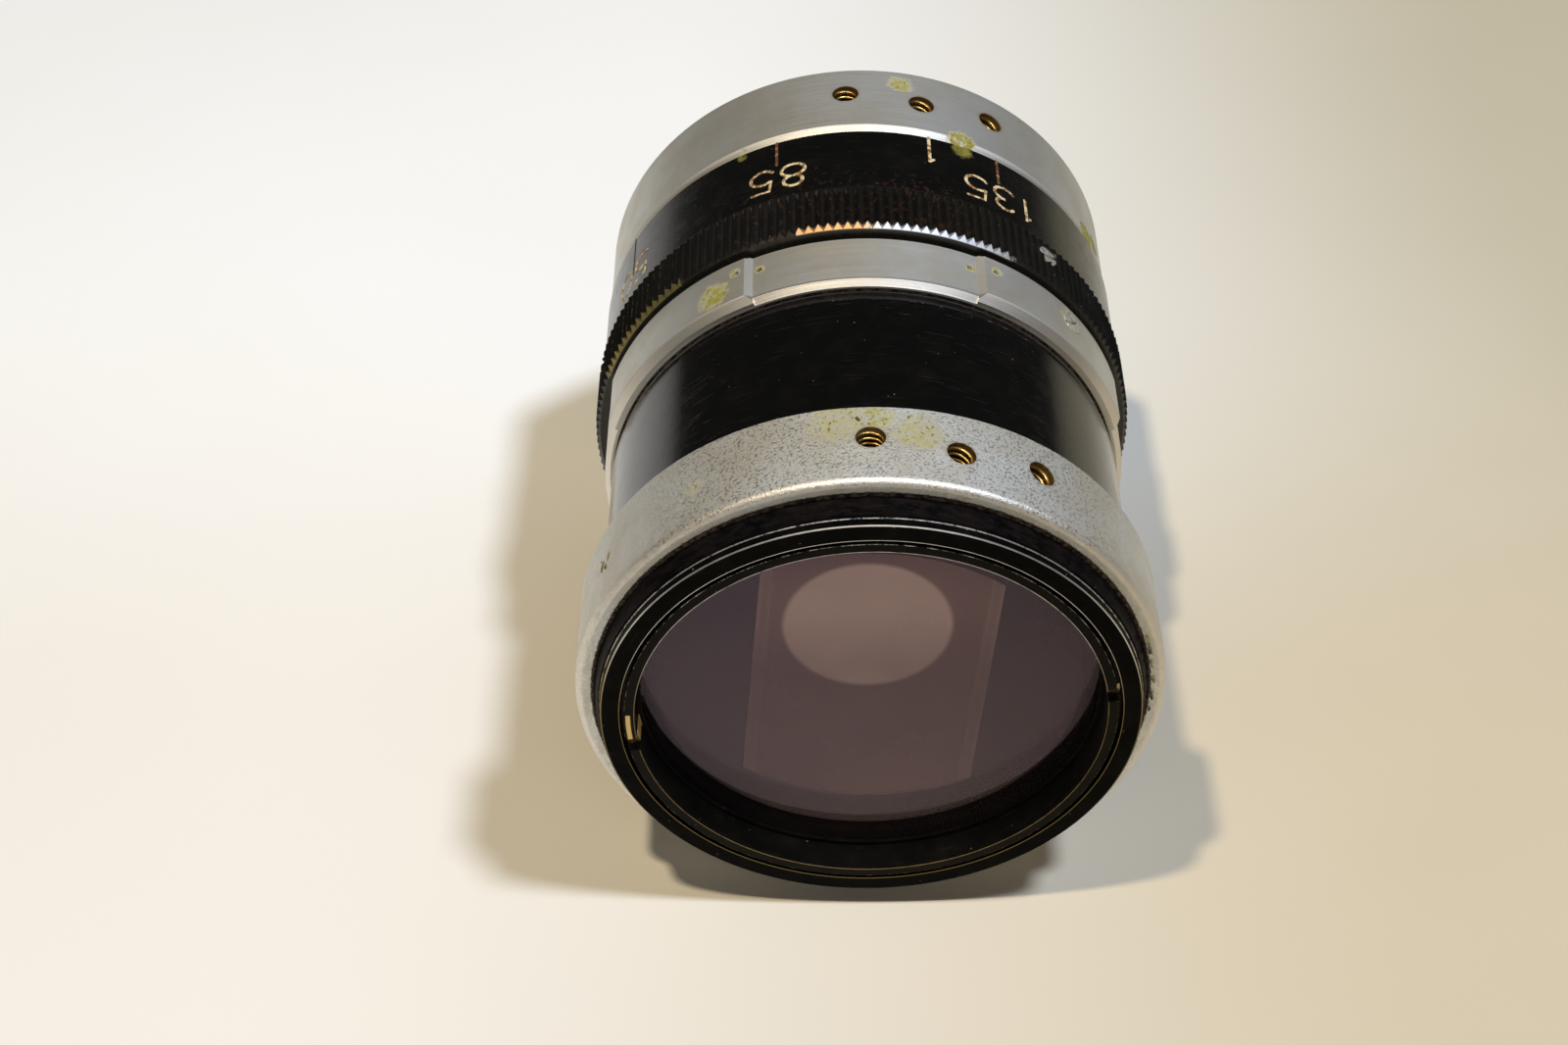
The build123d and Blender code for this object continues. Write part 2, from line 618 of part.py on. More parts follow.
def eyepiece_cap():
    """Black tapered cap that screws onto the neck and frames the eye lens."""
    base_r, shoulder_r, port_r = 17.2, 13.4, 7.4
    inner_s = 51.25
    cap = turned(
        (EYE_NECK_R + SEAT, EYE_FLANGE_END + 0.05), (base_r - 0.2, EYE_FLANGE_END + 0.05),
        (base_r, EYE_FLANGE_END + 0.25), (base_r, EYE_FLANGE_END + 0.9),
        (shoulder_r + 0.4, EYE_CAP_END - 0.35), (shoulder_r, EYE_CAP_END),
        (port_r + 1.9, EYE_CAP_END), (port_r, EYE_CAP_END - 1.0), (port_r, inner_s),
        (EYE_NECK_R + SEAT, inner_s),
    )
    return cap


# ---- Assembly -----------------------------------------------------------------------------------------

PARTS = {
    "front_bezel": front_bezel(),
    "front_retaining_ring": front_retaining_ring(),
    "objective_lens": objective_lens(),
    "front_ring": front_ring(),
    "main_tube": main_tube(),
    "front_barrel": front_barrel(),
    "middle_ring": middle_ring(),
    "middle_ring_screws": middle_ring_screws(),
    "rear_ring": rear_ring(),
    "rear_ring_screws": rear_ring_screws(),
    "stop_pin": stop_pin(),
    "zoom_ring": zoom_ring(),
    "zoom_ring_screws": zoom_ring_screws(),
    "cam_sleeve": cam_sleeve(),
    "variator_cell": lens_cell(VARIATOR_S, VARIATOR_THETAS),
    "variator_lens": cell_lens(VARIATOR_S, -0.5, -0.7),
    "variator_retaining_ring": cell_retaining_ring(VARIATOR_S),
    "variator_pins": driving_pins(VARIATOR_S, VARIATOR_THETAS),
    "compensator_cell": lens_cell(COMPENSATOR_S, COMPENSATOR_THETAS),
    "compensator_lens": cell_lens(COMPENSATOR_S, 0.7, 1.0),
    "compensator_retaining_ring": cell_retaining_ring(COMPENSATOR_S),
    "compensator_pins": driving_pins(COMPENSATOR_S, COMPENSATOR_THETAS),
    "prism_retaining_ring": prism_retaining_ring(),
    "erecting_prism": erecting_prism(),
    "prism_cage": prism_cage(),
    "field_mask": field_mask(),
    "eyepiece_cell": eyepiece_cell(),
    "eyepiece_front_lens": eyepiece_front_lens(),
    "eyepiece_spacer": eyepiece_spacer(),
    "eyepiece_rear_lens": eyepiece_rear_lens(),
    "eyepiece_retaining_ring": eyepiece_retaining_ring(),
    "eyepiece_cap": eyepiece_cap(),
}

lay_down = Rot(-90, 0, 0)      # the spindle's +Z becomes +Y, and theta then counts from +Z towards +X

os.makedirs("parts", exist_ok=True)
for name, shape in PARTS.items():
    export_step(lay_down * shape, f"parts/{name}.step")
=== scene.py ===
import random
from math import cos, degrees, pi, radians, sin

import bmesh
import bpy
from mathutils import Matrix, Vector


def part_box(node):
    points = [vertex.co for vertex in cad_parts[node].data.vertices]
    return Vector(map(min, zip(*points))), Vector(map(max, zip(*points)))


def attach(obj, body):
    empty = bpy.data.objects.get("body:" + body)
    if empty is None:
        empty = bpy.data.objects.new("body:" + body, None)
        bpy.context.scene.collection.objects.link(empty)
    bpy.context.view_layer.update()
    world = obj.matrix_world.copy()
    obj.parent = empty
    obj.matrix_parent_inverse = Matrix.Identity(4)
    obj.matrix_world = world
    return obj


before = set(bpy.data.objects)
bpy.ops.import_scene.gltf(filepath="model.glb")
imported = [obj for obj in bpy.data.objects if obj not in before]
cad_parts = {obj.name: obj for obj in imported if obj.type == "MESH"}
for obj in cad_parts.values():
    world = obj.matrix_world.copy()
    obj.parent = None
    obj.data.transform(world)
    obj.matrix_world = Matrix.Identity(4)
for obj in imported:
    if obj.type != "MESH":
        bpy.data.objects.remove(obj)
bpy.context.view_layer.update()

# The looks of a tubular zoom viewfinder. The optical axis is Y, the front glass faces -Y and the foot's
# side is up. Angles about the axis, theta, are degrees from the top (+Z) towards +X. Lengths in the tables
# of sizes below are millimetres, and MM turns them into Blender's metres.

MM = 0.001

# Outside radii and stations along the axis, as the CAD model has them
FRONT_RING_R = 19.73
REAR_RING_R = 19.35
LAND_R = 19.25
KNURL_R = 19.8
BAND_R = 19.5
MOUTH_R = 15.7
HOLE_R = 0.975
HOLE_DEPTH = 2.05
HOLE_PITCH = 16.8
HOLE_STAGGER = -0.7
FRONT_HOLES = (15.8, 6.2)        # theta of the middle hole, and y of its neighbours
REAR_HOLES = (13.1, 44.85)
CLEAR_GLASS_R = 14.4             # the part of the objective that its seat leaves open
GLASS_RIM_R = 16.3
GLASS_REAR_Y = 4.0
PRISM_FRONT_Y = 4.7
PRISM_REAR_Y = 14.2
PRISM_HALF_WIDTH = 8.0
PRISM_TILT = 4.0                 # degrees about the optical axis
PRISM_END_R = 15.0
PRISM_END_CENTRE = 3.1           # the convex ends' centres lie that far past the axis
PORT_R = 6.1

BRASS = (0.62, 0.44, 0.17)
THREAD_BRASS = (0.60, 0.40, 0.13)
STEEL = (0.82, 0.81, 0.76)
CHROME = (0.74, 0.75, 0.72)
DULL_CHROME = (0.66, 0.64, 0.57)
BARE_TOP = (0.74, 0.72, 0.69)    # rubbed edges in the light
BARE_LOW = (0.58, 0.42, 0.17)    # and on the shaded side
OLIVE = (0.31, 0.285, 0.058)
GREASE_CLOT = (0.075, 0.058, 0.014)
COATING = (0.34, 0.20, 0.36)     # purple reflection of coated glass, as a share of bare glass's
NEARLY_BLACK = (0.012, 0.010, 0.010)


def srgb(red, green, blue):
    """Linear colour of an 8-bit display colour."""
    def channel(value):
        share = value / 255
        return share / 12.92 if share <= 0.04045 else ((share + 0.055) / 1.055) ** 2.4
    return tuple(channel(v) for v in (red, green, blue))


# ---- Writing node trees as expressions ----------------------------------------------------------------

class Value:
    """A node's output that adds, multiplies and compares like a number."""

    def __init__(self, paint, socket):
        self.paint = paint
        self.socket = socket

    def _math(self, operation, *others):
        return self.paint.math(operation, self, *others)

    def __add__(self, other):
        return self._math("ADD", other)

    def __sub__(self, other):
        return self._math("SUBTRACT", other)

    def __mul__(self, other):
        return self._math("MULTIPLY", other)

    def abs(self):
        return self._math("ABSOLUTE")

    def sqrt(self):
        return self._math("SQRT")

    def max(self, other):
        return self._math("MAXIMUM", other)

    def min(self, other):
        return self._math("MINIMUM", other)

    def fade(self, start, end, low=0.0, high=1.0):
        """low before start and high after end, with a smooth change between. start may be past end."""
        node = self.paint.node("ShaderNodeMapRange")
        node.interpolation_type = "SMOOTHSTEP"
        for name, value in (("Value", self), ("From Min", start), ("From Max", end),
                            ("To Min", low), ("To Max", high)):
            self.paint.plug(node.inputs[name], value)
        return Value(self.paint, node.outputs["Result"])

    def near(self, centre, reach):
        """1 at centre, fading to 0 at a distance of reach."""
        return (self - centre).abs().fade(reach, reach * 0.4)


class Paint:
    """One material, with the place on the barrel as x, y, z, rho and theta in millimetres and degrees."""

    def __init__(self, name):
        self.material = bpy.data.materials.new(name)
        self.material.use_nodes = True
        self.tree = self.material.node_tree
        self.tree.nodes.clear()
        place = self.node("ShaderNodeTexCoord").outputs["Object"]
        scaled = self.node("ShaderNodeVectorMath")
        scaled.operation = "SCALE"
        scaled.inputs["Scale"].default_value = 1 / MM
        self.tree.links.new(place, scaled.inputs[0])
        self.place = scaled.outputs[0]
        apart = self.node("ShaderNodeSeparateXYZ")
        self.tree.links.new(self.place, apart.inputs[0])
        self.x, self.y, self.z = (Value(self, apart.outputs[i]) for i in range(3))
        self.rho = (self.x * self.x + self.z * self.z).sqrt()
        self.theta = self.math("ARCTAN2", self.x, self.z) * degrees(1)
        self.arc = self.theta * radians(19.3)

    def node(self, kind):
        return self.tree.nodes.new(kind)

    def plug(self, socket, value):
        if isinstance(value, Value):
            self.tree.links.new(value.socket, socket)
        elif isinstance(value, bpy.types.NodeSocket):
            self.tree.links.new(value, socket)
        elif isinstance(value, tuple) and len(value) == 3 and socket.type == "RGBA":
            socket.default_value = (*value, 1)
        else:
            socket.default_value = value

    def math(self, operation, *values):
        node = self.node("ShaderNodeMath")
        node.operation = operation
        for socket, value in zip(node.inputs, values):
            self.plug(socket, value)
        return Value(self, node.outputs[0])

    def around(self, along=1.0, across=1.0):
        """A vector of arc length, y and rho, for textures that were turned on a lathe."""
        node = self.node("ShaderNodeCombineXYZ")
        for socket, value in zip(node.inputs, (self.arc * along, self.y * across, self.rho * across)):
            self.plug(socket, value)
        return node.outputs[0]

    def noise(self, per_mm, detail=2.0, rough=0.5, where=None, warp=0.0):
        """Noise from 0 to 1 with about per_mm features to the millimetre."""
        node = self.node("ShaderNodeTexNoise")
        self.plug(node.inputs["Vector"], where or self.place)
        settings = {"Scale": per_mm, "Detail": detail, "Roughness": rough, "Distortion": warp}
        for name, value in settings.items():
            self.plug(node.inputs[name], value)
        return Value(self, node.outputs["Fac"])

    def specks(self, per_mm, size, seed=0.0):
        """Scattered round specks: 1 inside a speck of that share of its cell."""
        node = self.node("ShaderNodeTexVoronoi")
        offset = self.node("ShaderNodeVectorMath")
        self.plug(offset.inputs[0], self.place)
        offset.inputs[1].default_value = (seed, seed * 0.7, seed * 1.3)
        self.plug(node.inputs["Vector"], offset.outputs[0])
        self.plug(node.inputs["Scale"], per_mm)
        return Value(self, node.outputs["Distance"]).fade(size, size * 0.5)

    def mix(self, share, first, second):
        """Colour that goes from first to second."""
        node = self.node("ShaderNodeMix")
        node.data_type = "RGBA"
        self.plug(node.inputs["Factor"], share)
        colours = [s for s in node.inputs if s.type == "RGBA"]
        self.plug(colours[0], first)
        self.plug(colours[1], second)
        return [s for s in node.outputs if s.type == "RGBA"][0]

    def bump(self, height, depth):
        """Normal from a height of 0 to 1 that stands for depth in millimetres."""
        node = self.node("ShaderNodeBump")
        self.plug(node.inputs["Height"], height)
        node.inputs["Distance"].default_value = depth * MM
        return node.outputs["Normal"]

    def principled(self, **sockets):
        node = self.node("ShaderNodeBsdfPrincipled")
        for name, value in sockets.items():
            self.plug(node.inputs[name.replace("_", " ").title().replace("Ior", "IOR")], value)
        return node.outputs["BSDF"]

    def blend(self, share, first, second):
        node = self.node("ShaderNodeMixShader")
        self.plug(node.inputs[0], share)
        self.plug(node.inputs[1], first)
        self.plug(node.inputs[2], second)
        return node.outputs[0]

    def finish(self, surface):
        output = self.node("ShaderNodeOutputMaterial")
        self.plug(output.inputs["Surface"], surface)
        return self.material

    # Places on the barrel

    def spot(self, theta, y, reach, ragged=0.0):
        """1 at a place on the outside, and 0 from reach millimetres on. ragged breaks up its edge."""
        across = (self.theta - theta) * radians(19.5)
        along = self.y - y
        distance = (across * across + along * along).sqrt()
        if ragged:
            distance = distance + (self.noise(1.6, 4, 0.65, warp=0.6) - 0.5) * ragged
        return distance.fade(reach, reach * 0.55)

    def edge(self, radius, y, reach):
        """1 on the circle of that radius at y, fading to 0 at reach millimetres from it."""
        out = self.rho - radius
        along = self.y - y
        return (out * out + along * along).sqrt().fade(reach, reach * 0.35)


def largest(values):
    top = values[0]
    for value in values[1:]:
        top = top.max(value)
    return top


def hole_places(row):
    """Theta and y of the three tapped holes in a row."""
    theta, y = row
    return [(theta - HOLE_PITCH, y), (theta, y + HOLE_STAGGER), (theta + HOLE_PITCH, y)]


# ---- Materials ----------------------------------------------------------------------------------------

def greased(paint, colour, stains):
    """Films of dried grease over a colour, at (theta, y, reach, strength), and their share."""
    film = largest([paint.spot(theta, y, reach, ragged=reach * 1.1) * strength
                    for theta, y, reach, strength in stains])
    cloudy = paint.noise(1.5, 5, 0.7).fade(0.32, 0.62, 0.2, 1.0)
    clots = paint.noise(3.0, 4, 0.7).fade(0.58, 0.64) * film.fade(0.25, 0.8)
    share = film * cloudy
    colour = paint.mix(share, colour, OLIVE)
    return paint.mix(clots * 0.85, colour, GREASE_CLOT), share.max(clots)


def seam_grime(paint, seams):
    """Ragged dirt in the seams, thicker on top, at (radius, y, reach), and its colour."""
    ragged = paint.noise(2.4, 4, 0.7)
    thick = (ragged - 0.5) * 0.9 + paint.z.fade(4, 16, -0.34, 0.16)
    grime = (largest([paint.edge(*seam) for seam in seams]) + thick).fade(0.30, 0.62)
    limit = largest([paint.edge(radius, y, 1.2 * reach) for radius, y, reach in seams])
    crust = paint.mix(ragged.fade(0.42, 0.60), (0.030, 0.022, 0.017), (0.15, 0.115, 0.095))
    return grime * limit.fade(0, 0.3), crust


def satin_chrome(name, outside_r, blasted, holes=(), stains=(), worn_edges=(), seams=()):
    """Satin chrome on brass, bead-blasted or as turned, with bare brass in the walls of tapped holes,
    painted darker towards their bottoms as shade.

    outside_r is the radius of the outer face. Worn edges and seams are at (radius, y, reach).
    """
    paint = Paint(name)
    cloud = paint.noise(0.25, 3, 0.6)
    colour = paint.mix(cloud.fade(0.3, 0.7), CHROME, DULL_CHROME)
    if blasted:
        grit = paint.noise(5.0, 3, 0.8)
        glitter = paint.noise(5.5, 1, 0.5).fade(0.52, 0.66)
        roughness = glitter * -0.20 + 0.66 + cloud * 0.04
        colour = paint.mix(grit.fade(0.38, 0.58), paint.mix(0.12, colour, (0.3, 0.29, 0.27)), colour)
        height, depth = grit, 0.040
    else:
        lathe = paint.noise(1.0, 4, 0.7, where=paint.around(0.12, 9.0))
        scratch = paint.noise(1.0, 2, 0.5, where=paint.around(0.5, 30.0)).fade(0.62, 0.72)
        roughness = lathe * 0.12 + 0.50 + cloud * 0.06 - scratch * 0.06
        height, depth = lathe, 0.010
    metallic = 1.0
    if worn_edges:
        polish = largest([paint.edge(*edge) for edge in worn_edges])
        roughness = roughness - polish * 0.14
        colour = paint.mix(polish * 0.6, colour, srgb(226, 220, 210))
    if seams:
        grime, crust = seam_grime(paint, seams)
        colour = paint.mix(grime, colour, crust)
        roughness = roughness + grime * 0.2
    if stains:
        colour, grease = greased(paint, colour, stains)
        metallic = grease.fade(0, 0.9, 1.0, 0.1)
        roughness = roughness + grease * 0.2
    if holes:
        mouth = largest([paint.spot(theta, y, 1.28, ragged=0.2) for theta, y in holes])
        inside = paint.rho.fade(outside_r - 0.02, outside_r - 0.07) * mouth.fade(0.0, 0.1)
        colour = paint.mix(mouth * 0.45, colour, srgb(150, 122, 66))
        # The hole walls are painted darker towards the bottom: painted shade
        hole_shade = paint.rho.fade(outside_r - 0.1, outside_r - 1.3)
        colour = paint.mix(inside, colour, paint.mix(hole_shade, (0.23, 0.14, 0.045), (0.02, 0.012, 0.006)))
    shader = paint.principled(
        base_color=colour, metallic=metallic, roughness=roughness, normal=paint.bump(height, depth)
    )
    return paint.finish(shader)


def worn_line(paint, line, ragged, fine):
    """Bare metal along an edge at (radius, y, reach, strength), fainter on the shaded side."""
    radius, y, reach, strength = line
    edge = paint.edge(radius, y, reach)
    worn = (edge * strength + ragged * 0.55 + fine * 0.2).fade(0.84, 1.0) * edge.fade(0.02, 0.3)
    return worn * paint.z.fade(-4, 13, 0.34, 0.85)


def worn_patch(paint, patch, ragged):
    """Bare metal between two thetas and two radii, at (start, end, inner, outer, strength)."""
    start, end, inner, outer, strength = patch
    area = paint.theta.fade(start - 0.4, start + 0.4) * paint.theta.fade(end + 0.4, end - 0.4)
    area = area * paint.rho.fade(inner - 0.08, inner + 0.08) * paint.rho.fade(outer + 0.08, outer - 0.08)
    return (area * strength + ragged * 0.4).fade(0.7, 0.8) * area


class KnurlWear:
    """Where the zoom ring's knurl is worn through: its tips on the left, and the teeth's front ends. The
    worn ends near the top also carry painted highlights, cool white and orange.
    """

    def __init__(self, paint, ragged, fine):
        self.paint = paint
        self.toothed = paint.y.fade(33.3, 32.6)
        tips = paint.rho.fade(KNURL_R - 0.12, KNURL_R - 0.01) * self.toothed
        left = paint.theta.fade(-22, -50, 0.0, 0.24)
        worn_tips = (tips * (left + 0.22) + ragged * 0.5 + fine * 0.35).fade(0.88, 1.04)
        ends = paint.y.fade(28.62, 28.5) * paint.rho.fade(19.36, 19.44)
        # Bands of worn front ends; the first two are also where the painted highlights go
        bright = paint.theta.fade(-3, 3) * paint.theta.fade(44, 20)
        warm_highlight_and_wear = paint.theta.fade(-17, -13) * paint.theta.fade(4, -2)
        yellow = paint.theta.fade(-36, -46) * paint.theta.fade(-82, -66) * 0.9
        worn_ends = (ragged * 0.5 + fine * 0.3 + largest([bright, warm_highlight_and_wear, yellow])).fade(0.9, 1.1)
        self.bare = [worn_tips * tips.fade(0.1, 0.4), ends * worn_ends]
        self.bright_ends, self.warm_highlight_ends = ends * bright, ends * warm_highlight_and_wear

    def dirtied(self, colour):
        """Grey dust between the teeth, and red-brown flecks on and behind them."""
        paint = self.paint
        roots = paint.rho.fade(KNURL_R - 0.06, KNURL_R - 0.34) * self.toothed
        colour = paint.mix(roots * 0.8, colour, (0.013, 0.012, 0.009))
        flecks = paint.noise(2.2, 4, 0.7).fade(0.56, 0.64) * paint.y.fade(36.2, 33.0)
        flecks = flecks * paint.theta.fade(-45, -15) * paint.theta.fade(32, 12)
        return paint.mix(flecks * 0.6, colour, (0.065, 0.026, 0.018))

    def tinted(self, tint):
        paint = self.paint
        # Dull yellow-brown bare metal to the left, then painted highlights on the worn front ends: a cool
        # white reflection at and right of the top, and an orange one just left of it
        tint = paint.mix(paint.theta.fade(-18, -34), tint, (0.30, 0.25, 0.10))
        tint = paint.mix(self.bright_ends, tint, (0.80, 0.84, 0.92))
        return paint.mix(self.warm_highlight_ends, tint, (0.80, 0.50, 0.24))


def black_enamel(name, gloss=0.14, specular=0.5, worn=(), dust=0.5, knurl=False, patches=(), rubbed=(),
                 stains=(), sheen=(1.0, 1.0, 1.0)):
    """Gloss black enamel over brass, with dust.

    It is worn through along lines and in patches, stained with grease, and rubbed dull and brown between
    two stations along the axis, at (start, end, share).
    """
    paint = Paint(name)
    ragged = paint.noise(1.3, 5, 0.72)
    fine = paint.noise(9.0, 2, 0.6)
    wear = KnurlWear(paint, ragged, fine) if knurl else None
    bare = [worn_line(paint, line, ragged, fine) for line in worn]
    bare += [worn_patch(paint, patch, ragged) for patch in patches]
    scratches = paint.noise(1.0, 1, 0.4, where=paint.around(0.35, 14.0), warp=0.3).fade(0.70, 0.73)
    specks = paint.specks(0.9, 0.045) + paint.specks(0.55, 0.04, seed=7.3)
    film = paint.noise(0.5, 4, 0.65).fade(0.42, 0.75)
    colour = paint.mix(film * 0.5 * dust, (0.0020, 0.0022, 0.0022), (0.012, 0.010, 0.008))
    roughness = film * 0.08 + fine * 0.04 + gloss + specks * 0.3
    roughness = roughness + paint.rho.fade(MOUTH_R + 0.04, MOUTH_R + 0.01) * 0.25
    if wear:
        bare += wear.bare
        colour = wear.dirtied(colour)
        roughness = roughness + wear.toothed * 0.10
    colour = paint.mix((specks * dust).min(1.0), colour, srgb(150, 132, 104))
    colour = paint.mix(scratches * 0.25, colour, (0.05, 0.045, 0.04))
    for start, end, share in rubbed:
        dull = paint.y.fade(start, start + 0.15) * paint.y.fade(end, end - 0.15) * share
        blotches = paint.noise(1.0, 4, 0.7, where=paint.around(0.9, 2.4)).fade(0.40, 0.62)
        colour = paint.mix(dull * blotches, colour, (0.009, 0.0065, 0.0075))
        roughness = roughness + dull * 0.1
    through = largest(bare)
    # Bare metal painted lighter and greyer on top and browner below: painted light and shade on one metal
    tint = paint.mix(paint.z.fade(9, 0), BARE_TOP, BARE_LOW)
    if wear:
        tint = wear.tinted(tint)
    colour = paint.mix(through, colour, tint)
    roughness = roughness + through * 0.16
    if stains:
        colour, grease = greased(paint, colour, stains)
        roughness = roughness + grease * 0.3
    height = fine * 0.3 + paint.noise(1.5, 2, 0.5) * 0.7 + scratches * -0.4 - through * 0.8
    shader = paint.principled(
        base_color=colour, metallic=through, roughness=roughness, specular_ior_level=specular,
        specular_tint=sheen, normal=paint.bump(height, 0.005),
    )
    return paint.finish(shader)


def turned_brass(name, colour=BRASS):
    """Brass with fine turning marks and patches of tarnish."""
    paint = Paint(name)
    lathe = paint.noise(1.0, 4, 0.7, where=paint.around(0.1, 10.0))
    tarnish = paint.noise(0.7, 4, 0.65).fade(0.45, 0.75)
    base = paint.mix(tarnish * 0.6, colour, tuple(0.35 * c for c in colour))
    shader = paint.principled(
        base_color=base, metallic=1.0, roughness=lathe * 0.2 + 0.24, normal=paint.bump(lathe, 0.01)
    )
    return paint.finish(shader)


def matt_black(name):
    """Chemically blackened brass, as inside optics."""
    paint = Paint(name)
    grain = paint.noise(3.0, 4, 0.7)
    base = paint.mix(grain, (0.009, 0.0085, 0.009), (0.013, 0.012, 0.011))
    shader = paint.principled(
        base_color=base, metallic=0.3, roughness=grain * 0.2 + 0.6, normal=paint.bump(grain, 0.0015)
    )
    return paint.finish(shader)


def bright_steel(name):
    """Polished screw steel with burrs and a little rust."""
    paint = Paint(name)
    burr = paint.noise(2.5, 4, 0.7)
    base = paint.mix(burr.fade(0.52, 0.66), STEEL, (0.10, 0.075, 0.045))
    shader = paint.principled(
        base_color=base, metallic=0.9, roughness=burr * 0.25 + 0.38, normal=paint.bump(burr, 0.12)
    )
    return paint.finish(shader)


def hazy_glass(name, tint, haze_colour, haze, layers=()):
    """Coated glass that lets lamps through, with a share of dust.

    layers are (share, colour, glow) of what covers it, where glow is a painted glow: emission that stands
    in for daylight coming from behind.
    """
    paint = Paint(name)
    surface = paint.principled(
        base_color=tint, roughness=0.0, ior=1.52, transmission_weight=1.0, specular_tint=COATING
    )
    patchy = paint.noise(0.12, 2, 0.5).fade(0.25, 0.75, 0.88, 1.1)
    dusty = paint.principled(base_color=haze_colour, roughness=0.9, specular_ior_level=0.0)
    surface = paint.blend(haze(paint) * patchy, surface, dusty)
    for share, colour, glow in layers:
        cover = paint.principled(
            base_color=colour, roughness=0.8, specular_ior_level=0.1, emission_color=colour,
            emission_strength=glow,
        )
        surface = paint.blend(share(paint), surface, cover)
    lamps = paint.node("ShaderNodeBsdfTransparent")
    lamps.inputs["Color"].default_value = (0.86, 0.84, 0.86, 1)
    path = paint.node("ShaderNodeLightPath")
    surface = paint.blend(path.outputs["Is Shadow Ray"], surface, lamps.outputs[0])
    return paint.finish(surface)


def objective_dust_and_shadow(paint):
    """Dust inside the glass, in a disc as wide as its clear opening. Its thinning towards the top is a
    painted shadow of the mouth's rim.
    """
    inner_face = paint.y.fade(GLASS_REAR_Y - 0.15, GLASS_REAR_Y)
    disc = paint.rho.fade(CLEAR_GLASS_R + 0.04, CLEAR_GLASS_R - 0.06)
    return inner_face * disc * paint.z.fade(8.5, 0.5, 0.22, 1.0) * 0.45 + inner_face * 0.06


def prism_axes(paint):
    """Distances from the prism's mid planes, across and along it."""
    turn = radians(PRISM_TILT)
    across = paint.x * cos(turn) - paint.z * sin(turn)
    along = paint.x * sin(turn) + paint.z * cos(turn)
    return across.abs(), along.abs()


def prism_sides(paint):
    """The ground bands along the prism's two flat sides, with painted highlight lines along their borders.
    """
    across, _ = prism_axes(paint)
    inner, outer = PRISM_HALF_WIDTH - 0.85, PRISM_HALF_WIDTH - 0.1
    band = across.fade(inner - 0.05, inner + 0.10) * 0.12
    return band + across.near(inner, 0.2) * 0.07 + across.near(outer, 0.24) * 0.08


def prism_ends(paint):
    """The blackened convex ends."""
    across, along = prism_axes(paint)
    reach = along + PRISM_END_CENTRE
    return (across * across + reach * reach).sqrt().fade(PRISM_END_R - 0.06, PRISM_END_R - 0.02)


def prism_dust(paint):
    """Dust on the face behind the objective."""
    return paint.y.fade(PRISM_FRONT_Y + 0.05, PRISM_FRONT_Y - 0.05) * 0.36


def prism_back(paint):
    """The whole rear face, blackened by the cage behind it."""
    return paint.y.fade(PRISM_REAR_Y, PRISM_REAR_Y + 0.08)


def prism_port_glow(paint):
    """The disc of the rear face that the cage leaves open, painted bright and given a painted glow that
    stands in for daylight through the eyepiece.
    """
    return prism_back(paint) * paint.rho.fade(PORT_R, PORT_R - 0.5)


def objective_rim(paint):
    """The objective's painted rim."""
    return paint.rho.fade(GLASS_RIM_R, GLASS_RIM_R + 0.12)


def rear_haze(paint):
    """Dust on the variator lens's front face."""
    return paint.y.fade(20.5, 19.9) * 0.6


def thin_haze(paint):
    return paint.rho.fade(0, 40, 0.05, 0.06)


def engraving_paint(name, light, dark, worn_at=0.42):
    """Filling of an engraved line: light paint that has flaked and browned in places."""
    paint = Paint(name)
    flakes = paint.noise(2.2, 4, 0.7)
    base = paint.mix(flakes.fade(worn_at, worn_at + 0.16), dark, light)
    shader = paint.principled(
        base_color=base, roughness=flakes * 0.3 + 0.45, normal=paint.bump(flakes, 0.03)
    )
    return paint.finish(shader)


def plain_floor(name):
    """Pale card, painted whiter and brighter on one side and behind, and darker and warmer on the other
    side and in front: painted fall-off of the lamps' light.
    """
    paint = Paint(name)
    # Painted light: the card's colour falls off from white on the left to darker tan on the right
    far = paint.mix(paint.x.fade(-20, 75), srgb(252, 255, 255), srgb(197, 190, 165))
    near = paint.mix(paint.x.fade(-50, 45), srgb(239, 237, 230), srgb(205, 193, 167))
    base = paint.mix(paint.y.fade(52, -6), far, near)
    mottle = paint.noise(0.02, 3, 0.6)
    base = paint.mix(mottle.fade(0.3, 0.7) * 0.10, base, srgb(238, 226, 205))
    shader = paint.principled(base_color=base, roughness=0.75, specular_ior_level=0.2)
    return paint.finish(shader)


# ---- Pieces -------------------------------------------------------------------------------------------

def on_barrel(theta, y, radius):
    """Point in metres on the cylinder of that radius in millimetres."""
    angle = radians(theta)
    return Vector((radius * sin(angle), y, radius * cos(angle))) * MM


def add_piece(name, bm, material, body):
    """Makes an object of a bmesh, gives it its material, and lets it ride on a body."""
    mesh = bpy.data.meshes.new(name)
    bm.normal_update()
    bm.to_mesh(mesh)
    bm.free()
    piece = bpy.data.objects.new(name, mesh)
    bpy.context.scene.collection.objects.link(piece)
    mesh.materials.append(material)
    for polygon in mesh.polygons:
        polygon.use_smooth = True
    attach(piece, body)
    return piece


def arc(centre, width, height, start, end, steps=14):
    """Points of an elliptical arc, in degrees counter-clockwise from the right."""
    points = []
    for i in range(steps + 1):
        angle = radians(start + (end - start) * i / steps)
        points.append((centre[0] + width * cos(angle), centre[1] + height * sin(angle)))
    return points


